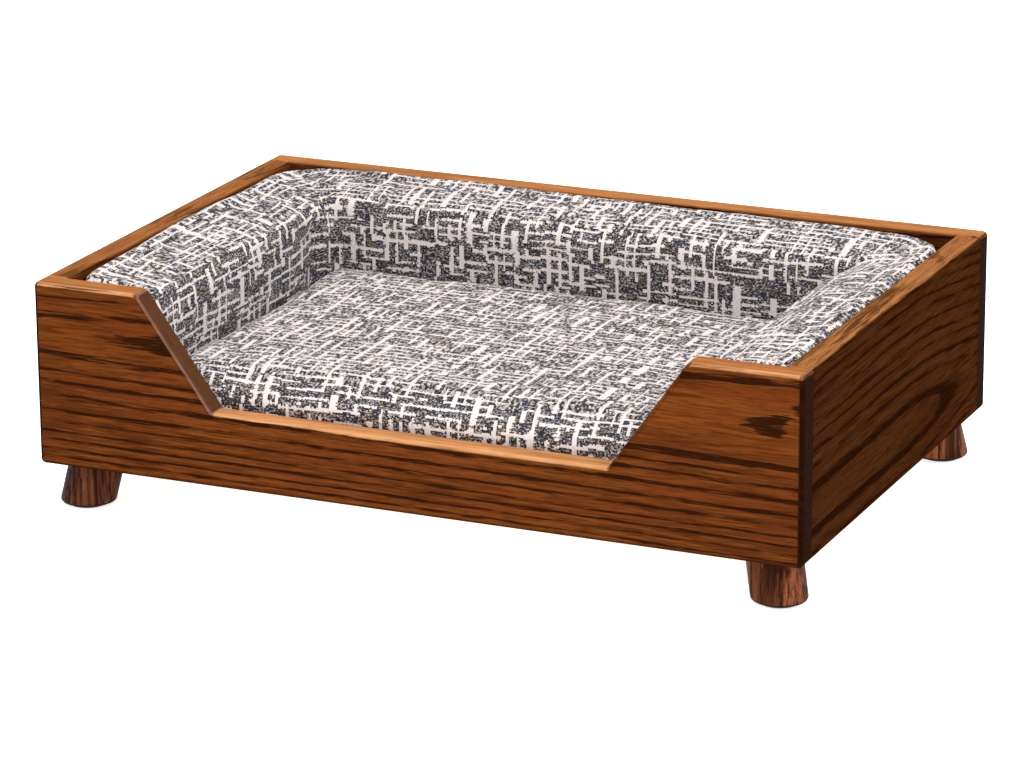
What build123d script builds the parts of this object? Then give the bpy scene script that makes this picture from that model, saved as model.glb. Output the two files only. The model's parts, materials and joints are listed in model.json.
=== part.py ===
from build123d import *
import math
import os

# Pet lounger: an oak box on four splayed legs, with a U-shaped bolster and a mattress inside.
# Millimetres and degrees. X runs to the right, Y to the back and Z up, and the origin is on the
# floor under the middle of the box.

# Box
box_width = 600.0
box_depth = 400.0
board_height = 140.0
board_thickness = 20.0
edge_round = 4.0

# Entry notch in the front board, its sill measured from the board's bottom edge
sill_height = 56.0
sill_width = 310.0
mouth_width = 430.0
sill_round = 3.0
mouth_round = 7.0

# Legs: round bars, cut level at both ends
leg_height = 33.0
leg_diameter = 40.8
leg_inset_x = 32.0
leg_inset_y = 31.0
leg_lean_x = 11.3
leg_lean_y = 8.5
leg_foot_round = 2.5

# Foot glides, each driven into a leg by its pin
glide_thickness = 2.0
glide_diameter = 30.0
glide_edge = 0.6
glide_pin_diameter = 3.0
glide_pin_length = 8.0

# Corner blocks, cleats and the base panel that they carry
block_size = 44.0
cleat_width = 18.0
cleat_height = 25.0
cleat_end_gap = 0.5
panel_thickness = 6.0
panel_gap = 0.5

# Threaded inserts in the corner blocks, and the bolts that hang the legs on them
insert_diameter = 12.0
insert_depth = 18.0
bolt_diameter = 8.0
bolt_in_block = 15.0
bolt_above_pin = 5.0
bolt_point = 2.0

# Dowels across the corner butt joints
dowel_diameter = 8.0
dowel_in_face = 11.0
dowel_in_end = 27.0
dowel_edge_distance = 28.0
dowels_per_corner = 3

# Wood screws
screw_shank = 4.0
screw_head = 8.0
screw_tip = 3.0
screw_bite = 12.0
block_screw_length = 40.0
block_screw_edge = 12.0
block_screw_low = 7.0
block_screw_high = 18.0
counterbore_diameter = 9.0
panel_screw_length = 16.0
panel_screw_shank = 3.5
panel_screw_head = 7.0
recess_width = 0.9
recess_depth = 1.0
screws_per_long_cleat = 4
screws_per_short_cleat = 3

# Clearances round and under the cushions, and their cover cloth
cushion_gap = 0.5
seat_gap = 0.3
cover_thickness = 1.2

# Mattress
mattress_rim = 50.0
mattress_crown = 4.0
mattress_end_round = 20.0
mattress_corner_round = 20.0
mattress_shoulder = 18.0
mattress_draw = 3.0

# Bolster
bolster_width = 67.5
bolster_below_rim = 0.5
bolster_corner_round = 46.0
bolster_end_round = 26.0
bolster_outer_round = 9.0
bolster_foot_round = 5.0
bolster_inner_round = 24.0
bolster_crown_width = 26.0
bolster_crown_slope = 15.0
bolster_ridge_slope = 3.0
bolster_draw = 2.5

# How far every cutter reaches past what it cuts
overrun = 5.0

# Heights above the floor
box_bottom = glide_thickness + leg_height
box_top = box_bottom + board_height
panel_bottom = box_bottom + cleat_height
panel_top = panel_bottom + panel_thickness
cushion_foot = panel_top + seat_gap

# Distances from the centre to the box's faces, and to the faces of the room inside the bolster
outer_x = box_width / 2
outer_y = box_depth / 2
inner_x = outer_x - board_thickness
inner_y = outer_y - board_thickness
room_x = inner_x - cushion_gap - bolster_width
room_back = inner_y - cushion_gap - bolster_width

SIDES = {"left": -1, "right": 1}
ENDS = {"front": -1, "back": 1}


def corners():
    """Each corner's name and its signs along X and Y."""
    for end_name, end in ENDS.items():
        for side_name, side in SIDES.items():
            yield f"{end_name}_{side_name}", side, end


def slab(x_from, x_to, y_from, y_to, z_from, z_to):
    """A box between two opposite corners."""
    size = (abs(x_to - x_from), abs(y_to - y_from), abs(z_to - z_from))
    return Pos((x_from + x_to) / 2, (y_from + y_to) / 2, (z_from + z_to) / 2) * Box(*size)


def bar(start, direction, diameter, length):
    """A round bar from a point along a direction."""
    return extrude(Plane(origin=start, z_dir=direction) * Circle(diameter / 2), amount=length)


def spread(count, reach):
    """Evenly spaced places from minus reach to reach."""
    return [reach * (2 * index / (count - 1) - 1) for index in range(count)]


def save(node, *solids):
    """Write one node, which may hold several separate solids."""
    shape = solids[0] if len(solids) == 1 else Compound(children=list(solids))
    export_step(shape, f"parts/{node}.step")


# The box: one ring, rounded over as a router does it after glue-up, then parted at its joints


def entry_notch():
    """The notch's cutter: level sill, sloping sides, open at the top."""
    slope = (mouth_width - sill_width) / 2 / (board_height - sill_height)
    sill = box_bottom + sill_height
    top = box_top + overrun
    top_half = mouth_width / 2 + overrun * slope
    outline = [(-sill_width / 2, sill), (sill_width / 2, sill), (top_half, top), (-top_half, top)]
    face = Plane.XZ.offset(inner_y - overrun) * make_face(Polyline(*outline, close=True))
    return extrude(face, amount=board_thickness + 2 * overrun)


def across_front_board(ring, half_width):
    """The ring's edges that run through the front board at a distance from its middle."""
    found = []
    for edge in ring.edges().filter_by(Axis.Y):
        middle = edge.center()
        if middle.Y < -inner_y and abs(abs(middle.X) - half_width) < edge_round:
            found.append(edge)
    return found


def is_rounded(edge):
    """Whether an edge of the ring is rounded over: all but the inside corners and inner foot."""
    middle = edge.center()
    runs_up = abs(edge.bounding_box().size.Z - board_height) < edge_round
    inside = abs(middle.X) < outer_x - edge_round and abs(middle.Y) < outer_y - edge_round
    at_foot = middle.Z < box_bottom + edge_round
    through_board = -outer_y + edge_round < middle.Y < -inner_y - edge_round
    through_notch = through_board and abs(middle.X) < inner_x
    return not through_notch and not (inside and (runs_up or at_foot))


def box_ring():
    """All four boards as one ring, with the notch cut and the outside edges rounded."""
    ring = slab(-outer_x, outer_x, -outer_y, outer_y, box_bottom, box_top)
    ring -= slab(-inner_x, inner_x, -inner_y, inner_y, box_bottom - overrun, box_top + overrun)
    ring -= entry_notch()
    ring = fillet(across_front_board(ring, mouth_width / 2), mouth_round)
    ring = fillet(across_front_board(ring, sill_width / 2), sill_round)
    return fillet([edge for edge in ring.edges() if is_rounded(edge)], edge_round)


def board_blanks():
    """The raw blocks that the boards are parted with. Front and back cover the sides' ends."""
    reach_x = outer_x + overrun
    reach_y = outer_y + overrun
    heights = (box_bottom - overrun, box_top + overrun)
    return {
        "front_board": slab(-reach_x, reach_x, -reach_y, -inner_y, *heights),
        "back_board": slab(-reach_x, reach_x, inner_y, reach_y, *heights),
        "left_board": slab(-reach_x, -inner_x, -inner_y, inner_y, *heights),
        "right_board": slab(inner_x, reach_x, -inner_y, inner_y, *heights),
    }


# The base: corner blocks and cleats inside the box's foot, and the panel on top of them


def corner_block(side, end):
    """One square block in a corner of the box."""
    x_range = (side * (inner_x - block_size), side * inner_x)
    y_range = (end * (inner_y - block_size), end * inner_y)
    return slab(*x_range, *y_range, box_bottom, panel_bottom)


def cleats():
    """The rails between the corner blocks."""
    long_reach = inner_x - block_size - cleat_end_gap
    short_reach = inner_y - block_size - cleat_end_gap
    made = {}
    for name, end in ENDS.items():
        y_range = (end * (inner_y - cleat_width), end * inner_y)
        made[f"cleat_{name}"] = slab(-long_reach, long_reach, *y_range, box_bottom, panel_bottom)
    for name, side in SIDES.items():
        x_range = (side * (inner_x - cleat_width), side * inner_x)
        made[f"cleat_{name}"] = slab(*x_range, -short_reach, short_reach, box_bottom, panel_bottom)
    return made


def base_panel():
    """The floor under the cushions."""
    reach_x = inner_x - panel_gap
    reach_y = inner_y - panel_gap
    return slab(-reach_x, reach_x, -reach_y, reach_y, panel_bottom, panel_top)


# The legs, with their glides, bolts and inserts


def leg_direction(side, end):
    """The way a leg points, down and outward."""
    lean_x = math.tan(math.radians(leg_lean_x))
    lean_y = math.tan(math.radians(leg_lean_y))
    return Vector(side * lean_x, end * lean_y, -1).normalized()


def on_leg_axis(side, end, height):
    """The point of a leg's axis at a height above the floor."""
    direction = leg_direction(side, end)
    top = Vector(side * (outer_x - leg_inset_x), end * (outer_y - leg_inset_y), box_bottom)
    return top + direction * ((height - box_bottom) / direction.Z)


def level_bar(side, end, diameter, z_from, z_to):
    """A bar along a leg's axis, cut level at both ends."""
    start = on_leg_axis(side, end, z_to + diameter)
    finish = on_leg_axis(side, end, z_from - diameter)
    raw = bar(start, leg_direction(side, end), diameter, (finish - start).length)
    return raw & slab(-box_width, box_width, -box_depth, box_depth, z_from, z_to)


def leg_blank(side, end):
    """One leg with its foot edge eased."""
    blank = level_bar(side, end, leg_diameter, glide_thickness, box_bottom)
    return fillet(blank.edges().group_by(Axis.Z)[0], leg_foot_round)


def glide(side, end):
    """One foot glide: a disc with an eased rim, and its pin."""
    foot = on_leg_axis(side, end, glide_thickness)
    floor_point = Vector(foot.X, foot.Y, 0)
    up = Vector(0, 0, 1)
    disc = bar(floor_point, up, glide_diameter, glide_thickness)
    disc = chamfer(disc.edges().group_by(Axis.Z)[0], glide_edge)
    return disc + bar(floor_point, up, glide_pin_diameter, glide_thickness + glide_pin_length)


def hanger_bolt(side, end):
    """One bolt from the corner block's insert down into the leg, where it ends in a point."""
    direction = leg_direction(side, end)
    start = on_leg_axis(side, end, box_bottom) - direction * bolt_in_block
    point = on_leg_axis(side, end, glide_thickness + glide_pin_length + bolt_above_pin)
    bolt = bar(start, direction, bolt_diameter, (point - start).length)
    return chamfer(bolt.edges().group_by(Axis.Z)[0], bolt_point)


def insert_envelope(side, end):
    """The space that one threaded insert fills in its corner block, bore included."""
    return level_bar(side, end, insert_diameter, box_bottom, box_bottom + insert_depth)


def insert_bore(side, end):
    """The bore of one threaded insert."""
    return level_bar(side, end, bolt_diameter, box_bottom - overrun, box_bottom + insert_depth + overrun)


# Screws and dowels


def screw_body(length, shank, head):
    """A countersunk screw's outline, turned: head at the origin, tip below."""
    cone_depth = (head - shank) / 2
    half = [
        (0, 0),
        (head / 2, 0),
        (shank / 2, -cone_depth),
        (shank / 2, screw_tip - length),
        (0, -length),
    ]
    return revolve(Plane.XZ * make_face(Polyline(*half, close=True)), Axis.Z)


def cross_recess(head):
    """The driver's cross in a screw's head."""
    cross = Box(head / 2, recess_width, 2 * recess_depth) + Box(recess_width, head / 2, 2 * recess_depth)
    return cross


def cleat_screw_places():
    """Head and direction of every screw that holds a cleat to its board."""
    level = box_bottom + cleat_height / 2
    places = []
    for end in ENDS.values():
        for x in spread(screws_per_long_cleat, inner_x - block_size - 2 * block_screw_edge):
            places.append((Vector(x, end * (inner_y - cleat_width), level), Vector(0, end, 0)))
    for side in SIDES.values():
        for y in spread(screws_per_short_cleat, inner_y - block_size - 2 * block_screw_edge):
            places.append((Vector(side * (inner_x - cleat_width), y, level), Vector(side, 0, 0)))
    return places


def block_screw_places():
    """Head and direction of the two screws that hold each corner block, one above the other."""
    sunk = block_screw_length - screw_bite
    beside = block_size - block_screw_edge
    low = box_bottom + block_screw_low
    high = box_bottom + block_screw_high
    places = []
    for _, side, end in corners():
        sideways = Vector(side * (inner_x - sunk), end * (inner_y - beside), low)
        endways = Vector(side * (inner_x - beside), end * (inner_y - sunk), high)
        places.append((sideways, Vector(side, 0, 0)))
        places.append((endways, Vector(0, end, 0)))
    return places


def panel_screw_places():
    """Head and direction of the screws that hold the base panel, midway between cleat screws."""
    down = Vector(0, 0, -1)
    long_gap = 2 * (inner_x - block_size - 2 * block_screw_edge) / (screws_per_long_cleat - 1)
    short_gap = 2 * (inner_y - block_size - 2 * block_screw_edge) / (screws_per_short_cleat - 1)
    long_reach = long_gap * (screws_per_long_cleat - 2) / 2
    short_reach = short_gap * (screws_per_short_cleat - 2) / 2
    places = []
    for end in ENDS.values():
        for x in spread(screws_per_long_cleat - 1, long_reach):
            places.append((Vector(x, end * (inner_y - cleat_width / 2), panel_top), down))
    for side in SIDES.values():
        for y in spread(screws_per_short_cleat - 1, short_reach):
            places.append((Vector(side * (inner_x - cleat_width / 2), y, panel_top), down))
    return places


def driven(places, length, shank, head):
    """Screws at their places: the plain bodies that cut their holes, and the finished screws."""
    body = screw_body(length, shank, head)
    finished = body - cross_recess(head)
    frames = [Plane(origin=place, z_dir=-direction) for place, direction in places]
    return [frame * body for frame in frames], [frame * finished for frame in frames]


def counterbores():
    """The wide bores that let the block screws sit deep in their blocks."""
    depth = block_size - (block_screw_length - screw_bite)
    bores = []
    for head, direction in block_screw_places():
        start = head - direction * (depth + overrun)
        bores.append(bar(start, direction, counterbore_diameter, depth + overrun))
    return bores


def dowels():
    """The dowels from the side boards' ends into the front and back boards."""
    from_middle = board_height / 2 - dowel_edge_distance
    levels = [box_bottom + board_height / 2 + z for z in spread(dowels_per_corner, from_middle)]
    made = []
    for _, side, end in corners():
        for level in levels:
            start = Vector(side * (outer_x - board_thickness / 2), end * (inner_y + dowel_in_face), level)
            made.append(bar(start, Vector(0, -end, 0), dowel_diameter, dowel_in_face + dowel_in_end))
    return made


# The mattress, lofted from front to back through sections with bulged sides and a crowned top

MATTRESS_TURN_SHARES = (0, 0.25, 0.5, 0.75, 1)
MATTRESS_LENGTH_SHARES = (0.2, 0.35, 0.5)
CROWN_FALL_SHARE = 0.94


def mattress_section(y, half_width, foot, rim, crown):
    """The mattress cut across: flat below, bulged sides, rounded shoulders, a crowned top."""
    shoulder = min(mattress_shoulder, (rim - foot) / 2)
    knee = shoulder * (1 - math.sqrt(1 / 2))
    side_top = rim - shoulder
    foot_x = half_width - mattress_draw
    top_x = half_width - shoulder
    right = [
        (foot_x, y, foot),
        (half_width - mattress_draw / 4, y, (foot + side_top) / 2),
        (half_width, y, side_top),
        (half_width - knee, y, rim - knee),
        (top_x, y, rim),
    ]
    left = [(-x, y, z) for x, _, z in right]
    return make_face(
        [
            Line(left[0], right[0]),
            ThreePointArc(right[0], right[1], right[2]),
            ThreePointArc(right[2], right[3], right[4]),
            ThreePointArc(right[4], (0, y, rim + crown), left[4]),
            ThreePointArc(left[4], left[3], left[2]),
            ThreePointArc(left[2], left[1], left[0]),
        ]
    )


def mattress_form(inset):
    """The mattress, or its core when it is inset by the cover."""
    half_width = room_x - cushion_gap - inset
    y_front = -inner_y + cushion_gap + inset
    length = room_back - cushion_gap - inset - y_front
    foot = cushion_foot + inset
    rim = cushion_foot + mattress_rim - inset
    stations = []
    for share in MATTRESS_TURN_SHARES:
        turn = math.radians(90 * share)
        fall = 1 - math.sin(turn)
        along = mattress_end_round * (1 - math.cos(turn))
        stations.append((along, mattress_end_round * fall, mattress_corner_round * fall))
    for share in MATTRESS_LENGTH_SHARES:
        stations.append((length * share, 0, 0))
    for along, drop, narrowing in reversed(stations[:-1]):
        stations.append((length - along, drop, narrowing))
    sections = []
    for along, drop, narrowing in stations:
        from_middle = 2 * along / length - 1
        crown = mattress_crown * (1 - CROWN_FALL_SHARE * from_middle**2)
        sections.append(mattress_section(y_front + along, half_width - narrowing, foot, rim - drop, crown))
    return loft(sections, ruled=True)


# The bolster: a U block with rounded ends and corners, whose inner side is then shaped


def room_flank(wall, foot, top, inset):
    """The bolster's inner side in section: a bulged wall, a round shoulder and half a crown."""
    slope = math.radians(bolster_crown_slope)
    ridge = math.radians(bolster_ridge_slope)
    quarter = math.radians(90)
    shoulder = bolster_inner_round - inset
    crown = bolster_crown_width / (math.sin(slope) - math.sin(ridge))

    def on_arc(centre, radius, angle_from_top):
        return (centre[0] - radius * math.sin(angle_from_top), centre[1] + radius * math.cos(angle_from_top))

    crown_top = top - crown * math.cos(ridge)
    shoulder_z = crown_top + (crown - shoulder) * math.cos(slope)
    shoulder_centre = (wall + shoulder, shoulder_z)
    crown_centre = (shoulder_centre[0] + (crown - shoulder) * math.sin(slope), crown_top)
    wall_foot = (wall + bolster_draw, foot)
    wall_middle = (wall + bolster_draw / 4, (foot + shoulder_z) / 2)
    wall_top = (wall, shoulder_z)
    shoulder_middle = on_arc(shoulder_centre, shoulder, (quarter + slope) / 2)
    shoulder_end = on_arc(shoulder_centre, shoulder, slope)
    crown_middle = on_arc(crown_centre, crown, (slope + ridge) / 2)
    crown_end = on_arc(crown_centre, crown, ridge)
    flank = [
        ThreePointArc(wall_foot, wall_middle, wall_top),
        ThreePointArc(wall_top, shoulder_middle, shoulder_end),
        ThreePointArc(shoulder_end, crown_middle, crown_end),
    ]
    return flank, wall_foot, crown_end


def room_face(wall, start, foot, top, inset):
    """The room inside the bolster in section, from a start line out to the flank."""
    flank, wall_foot, crown_end = room_flank(wall, foot, top, inset)
    lid = top + overrun
    below = foot - overrun
    outline = [crown_end, (crown_end[0], lid), (start, lid), (start, below), (wall_foot[0], below), wall_foot]
    return make_face(flank + [Line(a, b) for a, b in zip(outline, outline[1:])])


def bolster_form(inset):
    """The bolster, or its core when it is inset by the cover."""
    half_x = inner_x - cushion_gap - inset
    half_y = inner_y - cushion_gap - inset
    foot = cushion_foot + inset
    top = box_top - bolster_below_rim - inset
    wall_x = room_x + inset
    wall_y = room_back + inset

    mouth_depth = wall_y + half_y + overrun
    mouth = Pos(0, wall_y - mouth_depth / 2) * Rectangle(2 * wall_x, mouth_depth)
    plan = Rectangle(2 * half_x, 2 * half_y) - mouth
    back_corners = plan.vertices().filter_by(lambda v: v.Y > half_y - overrun)
    plan = fillet(back_corners, bolster_corner_round - inset)
    arm_ends = plan.vertices().filter_by(lambda v: v.Y < overrun - half_y)
    plan = fillet(arm_ends, bolster_end_round - inset)
    block = Pos(0, 0, foot) * extrude(plan, amount=top - foot)
    block = fillet(block.edges().group_by(Axis.Z)[-1], bolster_outer_round - inset)
    block = fillet(block.edges().group_by(Axis.Z)[0], bolster_foot_round - inset)

    half_room = Plane.XZ * room_face(wall_x, 0, foot, top, inset)
    between_arms = extrude(half_room, amount=box_depth, both=True)
    between_arms += mirror(between_arms, about=Plane.YZ)
    in_front = extrude(Plane.YZ * room_face(wall_y, -box_depth, foot, top, inset), amount=box_width, both=True)
    return block - (between_arms & in_front)


def foam_bars(core):
    """The bolster's core as it is cut from foam: a full back bar with an arm butted to each end."""
    split = room_back + cover_thickness
    reach_x = box_width
    reach_y = box_depth
    heights = (0, 2 * box_top)
    return {
        "bolster_foam_back": core & slab(-reach_x, reach_x, split, reach_y, *heights),
        "bolster_foam_left": core & slab(-reach_x, 0, -reach_y, split, *heights),
        "bolster_foam_right": core & slab(0, reach_x, -reach_y, split, *heights),
    }


# Assembly: cut every hole by what fills it, then write the nodes


def near(piece, cutter):
    """Whether two solids' boxes meet, so that one can cut the other."""
    one = piece.bounding_box()
    two = cutter.bounding_box()
    apart_x = one.min.X > two.max.X or two.min.X > one.max.X
    apart_y = one.min.Y > two.max.Y or two.min.Y > one.max.Y
    apart_z = one.min.Z > two.max.Z or two.min.Z > one.max.Z
    return not (apart_x or apart_y or apart_z)


def bored(piece, cutters):
    """A piece with the holes of all the cutters that reach it."""
    reaching = [cutter for cutter in cutters if near(piece, cutter)]
    return piece - reaching if reaching else piece


def build():
    """Make every node and write it."""
    cleat_holes, cleat_screws = driven(
        cleat_screw_places(), cleat_width + screw_bite, screw_shank, screw_head
    )
    block_holes, block_screws = driven(
        block_screw_places(), block_screw_length, screw_shank, screw_head
    )
    panel_holes, panel_screws = driven(
        panel_screw_places(), panel_screw_length, panel_screw_shank, panel_screw_head
    )
    corner_dowels = dowels()
    glides = {name: glide(side, end) for name, side, end in corners()}
    bolts = {name: hanger_bolt(side, end) for name, side, end in corners()}
    sleeves = {name: insert_envelope(side, end) for name, side, end in corners()}
    holes = cleat_holes + block_holes + panel_holes + corner_dowels

    ring = box_ring()
    for name, blank in board_blanks().items():
        save(name, bored(ring & blank, holes))
    for name, piece in cleats().items():
        save(name, bored(piece, holes))
    save("base_panel", bored(base_panel(), panel_holes))
    for name, side, end in corners():
        block = bored(corner_block(side, end), block_holes + counterbores() + [sleeves[name]])
        save(f"corner_block_{name}", block)
        save(f"leg_{name}", leg_blank(side, end) - [bolts[name], glides[name]])
        save(f"foot_glide_{name}", glides[name])

    save("threaded_inserts", *[sleeves[name] - insert_bore(side, end) for name, side, end in corners()])
    save("hanger_bolts", *bolts.values())
    save("corner_dowels", *corner_dowels)
    save("cleat_screws", *cleat_screws)
    save("block_screws", *block_screws)
    save("panel_screws", *panel_screws)

    mattress_foam = mattress_form(cover_thickness)
    save("mattress_foam", mattress_foam)
    save("mattress_cover", mattress_form(0) - mattress_foam)
    bolster_core = bolster_form(cover_thickness)
    save("bolster_cover", bolster_form(0) - bolster_core)
    for name, foam in foam_bars(bolster_core).items():
        save(name, foam)


os.makedirs("parts", exist_ok=True)
build()
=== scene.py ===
"""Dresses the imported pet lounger: a stained oak box on splayed legs, with a tweed bolster and pad.

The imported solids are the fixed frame. The boards, legs and fittings keep their solids and get
their finishes here. The bolster and the pad are sewn and stuffed here, round their foam.
"""

import json
import logging
import math
from dataclasses import dataclass
from enum import Enum
from typing import Callable, Iterable, Sequence, Union

import bpy
import numpy as np
from mathutils import Euler, Matrix, Vector, noise

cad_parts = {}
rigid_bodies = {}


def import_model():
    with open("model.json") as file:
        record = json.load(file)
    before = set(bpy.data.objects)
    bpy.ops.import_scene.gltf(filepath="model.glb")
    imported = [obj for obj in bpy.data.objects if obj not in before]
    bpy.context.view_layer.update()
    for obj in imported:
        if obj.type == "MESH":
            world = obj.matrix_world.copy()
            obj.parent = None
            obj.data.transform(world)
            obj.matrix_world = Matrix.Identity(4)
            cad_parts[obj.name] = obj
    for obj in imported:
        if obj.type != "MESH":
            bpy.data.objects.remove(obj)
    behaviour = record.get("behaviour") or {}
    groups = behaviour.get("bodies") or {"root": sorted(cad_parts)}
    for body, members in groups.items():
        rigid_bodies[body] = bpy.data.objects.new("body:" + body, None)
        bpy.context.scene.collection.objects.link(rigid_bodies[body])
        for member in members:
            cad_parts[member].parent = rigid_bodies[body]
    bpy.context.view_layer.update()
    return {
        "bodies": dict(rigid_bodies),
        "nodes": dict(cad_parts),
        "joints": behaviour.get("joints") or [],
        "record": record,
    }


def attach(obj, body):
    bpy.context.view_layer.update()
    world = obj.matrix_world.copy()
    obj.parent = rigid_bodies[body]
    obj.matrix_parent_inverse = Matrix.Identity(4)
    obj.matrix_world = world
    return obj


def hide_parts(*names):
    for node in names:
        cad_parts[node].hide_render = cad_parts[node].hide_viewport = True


Material = bpy.types.Material
Piece = bpy.types.Object
Value = Union["Wire", float, Sequence[float]]
Colour = tuple[float, float, float, float]
Spot = tuple[float, float, float]
Pair = tuple[float, float]

log = logging.getLogger("pet_lounger")

MM = 0.001
TINY = 1e-9
QUARTER = math.pi / 2
WEAVE_MAP = "weave"


# Node trees


def reckon(operation: str) -> Callable[..., "Wire"]:
    """Makes one of a wire's sums.

    Args:
        operation: The sum's name in a Math node.

    Returns:
        A method that adds such a node.
    """

    def method(wire: "Wire", other: Value = 0.0) -> "Wire":
        """Adds the sum of this wire and another value."""
        return wire.graph.maths(operation, wire, other)

    return method


class Wire:
    """A value in a material's node tree, reckoned with like a number."""

    __add__ = reckon("ADD")
    __sub__ = reckon("SUBTRACT")
    __mul__ = reckon("MULTIPLY")
    __abs__ = reckon("ABSOLUTE")
    floor = reckon("FLOOR")
    fraction = reckon("FRACT")
    root = reckon("SQRT")
    sine = reckon("SINE")
    most = reckon("MAXIMUM")
    least = reckon("MINIMUM")
    is_above = reckon("GREATER_THAN")
    is_below = reckon("LESS_THAN")
    zigzag = reckon("PINGPONG")

    def __init__(self, graph: "Graph", socket: bpy.types.NodeSocket) -> None:
        """Holds a node's output."""
        self.graph, self.socket = graph, socket

    def __rsub__(self, other: float) -> "Wire":
        """Takes this value from a number."""
        return self.graph.maths("SUBTRACT", other, self)

    def around(self, reach: float) -> "Wire":
        """Turns a 0 to 1 value into one that swings round zero by the reach."""
        return (self - 0.5) * (2 * reach)

    def step(self, low: float, high: float, to_low: float = 0.0, to_high: float = 1.0) -> "Wire":
        """A smooth step from one result to another.

        Args:
            low: The value where the step starts.
            high: Where it ends.
            to_low: The result below the step.
            to_high: The result above it.

        Returns:
            The step's result.
        """
        inputs = {"Value": self, "From Min": low, "From Max": high, "To Min": to_low, "To Max": to_high}
        return self.graph.add("MapRange", inputs, interpolation_type="SMOOTHSTEP")

    def spread(self, low: float, high: float) -> "Wire":
        """Spreads a 0 to 1 value evenly between two others."""
        return self.graph.add("MapRange", {"Value": self, "To Min": low, "To Max": high})


class Graph:
    """A material's node tree, built by short calls."""

    def __init__(self, name: str) -> None:
        """Starts a material that has a Principled shader and its output.

        Args:
            name: The material's name.
        """
        self.material = bpy.data.materials.new(name)
        self.material.use_nodes = True
        self.tree = self.material.node_tree
        self.tree.nodes.clear()
        self.shader = self.tree.nodes.new("ShaderNodeBsdfPrincipled")
        output = self.tree.nodes.new("ShaderNodeOutputMaterial")
        self.tree.links.new(self.shader.outputs[0], output.inputs["Surface"])

    def plug(self, socket: bpy.types.NodeSocket, value: Value) -> None:
        """Links a socket to a wire, or sets it to a plain value.

        Args:
            socket: A node's input.
            value: What goes into it.
        """
        if isinstance(value, Wire):
            self.tree.links.new(value.socket, socket)
        else:
            socket.default_value = value

    def add(
        self, kind: str, inputs: dict[Union[str, int], Value], out: Union[str, int] = 0, **settings: object
    ) -> Wire:
        """Adds a node.

        Args:
            kind: The node's type, without its ShaderNode prefix.
            inputs: What goes into its sockets.
            out: The output that is wanted.
            **settings: The node's own properties.

        Returns:
            The wanted output.
        """
        node = self.tree.nodes.new("ShaderNode" + kind)
        for key, value in settings.items():
            setattr(node, key, value)
        for key, value in inputs.items():
            self.plug(node.inputs[key], value)
        return Wire(self, node.outputs[out])

    def maths(self, operation: str, first: Value, second: Value = 0.0) -> Wire:
        """Adds one sum."""
        return self.add("Math", {0: first, 1: second}, operation=operation)

    def point(self, x: Value, y: Value = 0.0, z: Value = 0.0) -> Wire:
        """Joins three values into a point."""
        return self.add("CombineXYZ", {0: x, 1: y, 2: z})

    def parts(self, vector: Wire) -> tuple[Wire, ...]:
        """Splits a point.

        Args:
            vector: The point.

        Returns:
            Its three values.
        """
        node = self.tree.nodes.new("ShaderNodeSeparateXYZ")
        self.plug(node.inputs[0], vector)
        return tuple(Wire(self, socket) for socket in node.outputs)

    def place(self) -> tuple[Wire, ...]:
        """The point's place on its piece, in metres."""
        return self.parts(self.add("TexCoord", {}, out="Object"))

    def facing(self) -> tuple[Wire, ...]:
        """The way that the surface faces."""
        return self.parts(self.add("TexCoord", {}, out="Normal"))

    def noise(self, vector: Value, detail: float = 0.0) -> Wire:
        """Smooth noise whose grain is about one unit."""
        return self.add("TexNoise", {"Vector": vector, "Scale": 1.0, "Detail": detail})

    def speckle(self, place: Iterable[Wire], often: Iterable[float], detail: float = 0.0) -> Wire:
        """Smooth noise that changes so many times in a metre, each way."""
        return self.noise(self.point(*(value * times for value, times in zip(place, often))), detail)

    def dice(self, *numbers: Value) -> Wire:
        """One random value for each set of whole numbers."""
        return self.add("TexWhiteNoise", {"Vector": self.point(*numbers)})

    def tint(self, factor: Value, first: Value, second: Value, blend_type: str = "MIX") -> Wire:
        """Mixes two colours.

        Args:
            factor: The second colour's share.
            first: The first colour.
            second: The second colour.
            blend_type: The way that they mix.

        Returns:
            The mixed colour.
        """
        node = self.tree.nodes.new("ShaderNodeMix")
        node.data_type = "RGBA"
        node.blend_type = blend_type
        for number, value in ((0, factor), (6, first), (7, second)):
            self.plug(node.inputs[number], value)
        return Wire(self, node.outputs[2])

    def shaded(self, colour: Value, shade: Wire) -> Wire:
        """Multiplies a colour by a shade of grey."""
        return self.tint(1.0, colour, self.point(shade, shade, shade), "MULTIPLY")

    def surface(self, colour: Value, roughness: Value, **constants: float) -> None:
        """Sets the shader's colour, roughness and other constants.

        Args:
            colour: The base colour.
            roughness: How dull the surface is.
            **constants: Other sockets, with underscores for spaces.
        """
        self.plug(self.shader.inputs["Base Color"], colour)
        self.plug(self.shader.inputs["Roughness"], roughness)
        for key, value in constants.items():
            self.shader.inputs[key.replace("_", " ")].default_value = value

    def chart(self, value: Wire, points: Sequence[Pair]) -> Wire:
        """Reads a value off a chart of straight runs.

        Args:
            value: What is looked up, from 0 to 1.
            points: The chart's points, from 0 to 1 both ways, in order.

        Returns:
            The value read off, from 0 to 1.
        """
        node = self.tree.nodes.new("ShaderNodeFloatCurve")
        line = node.mapping.curves[0]
        line.points[0].location, line.points[-1].location = points[0], points[-1]
        for point in points[1:-1]:
            line.points.new(*point)
        for point in line.points:
            point.handle_type = "VECTOR"
        node.mapping.update()
        self.plug(node.inputs["Value"], value)
        return Wire(self, node.outputs[0])

    def relief(self, height: Wire, depth: float, strength: float) -> None:
        """Gives the surface a relief of a certain depth."""
        bump = self.add("Bump", {"Height": height, "Distance": depth, "Strength": strength})
        self.plug(self.shader.inputs["Normal"], bump)


def hue(red: float, green: float, blue: float) -> Colour:
    """A full colour from three values."""
    return (red, green, blue, 1.0)


# Finishes


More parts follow.
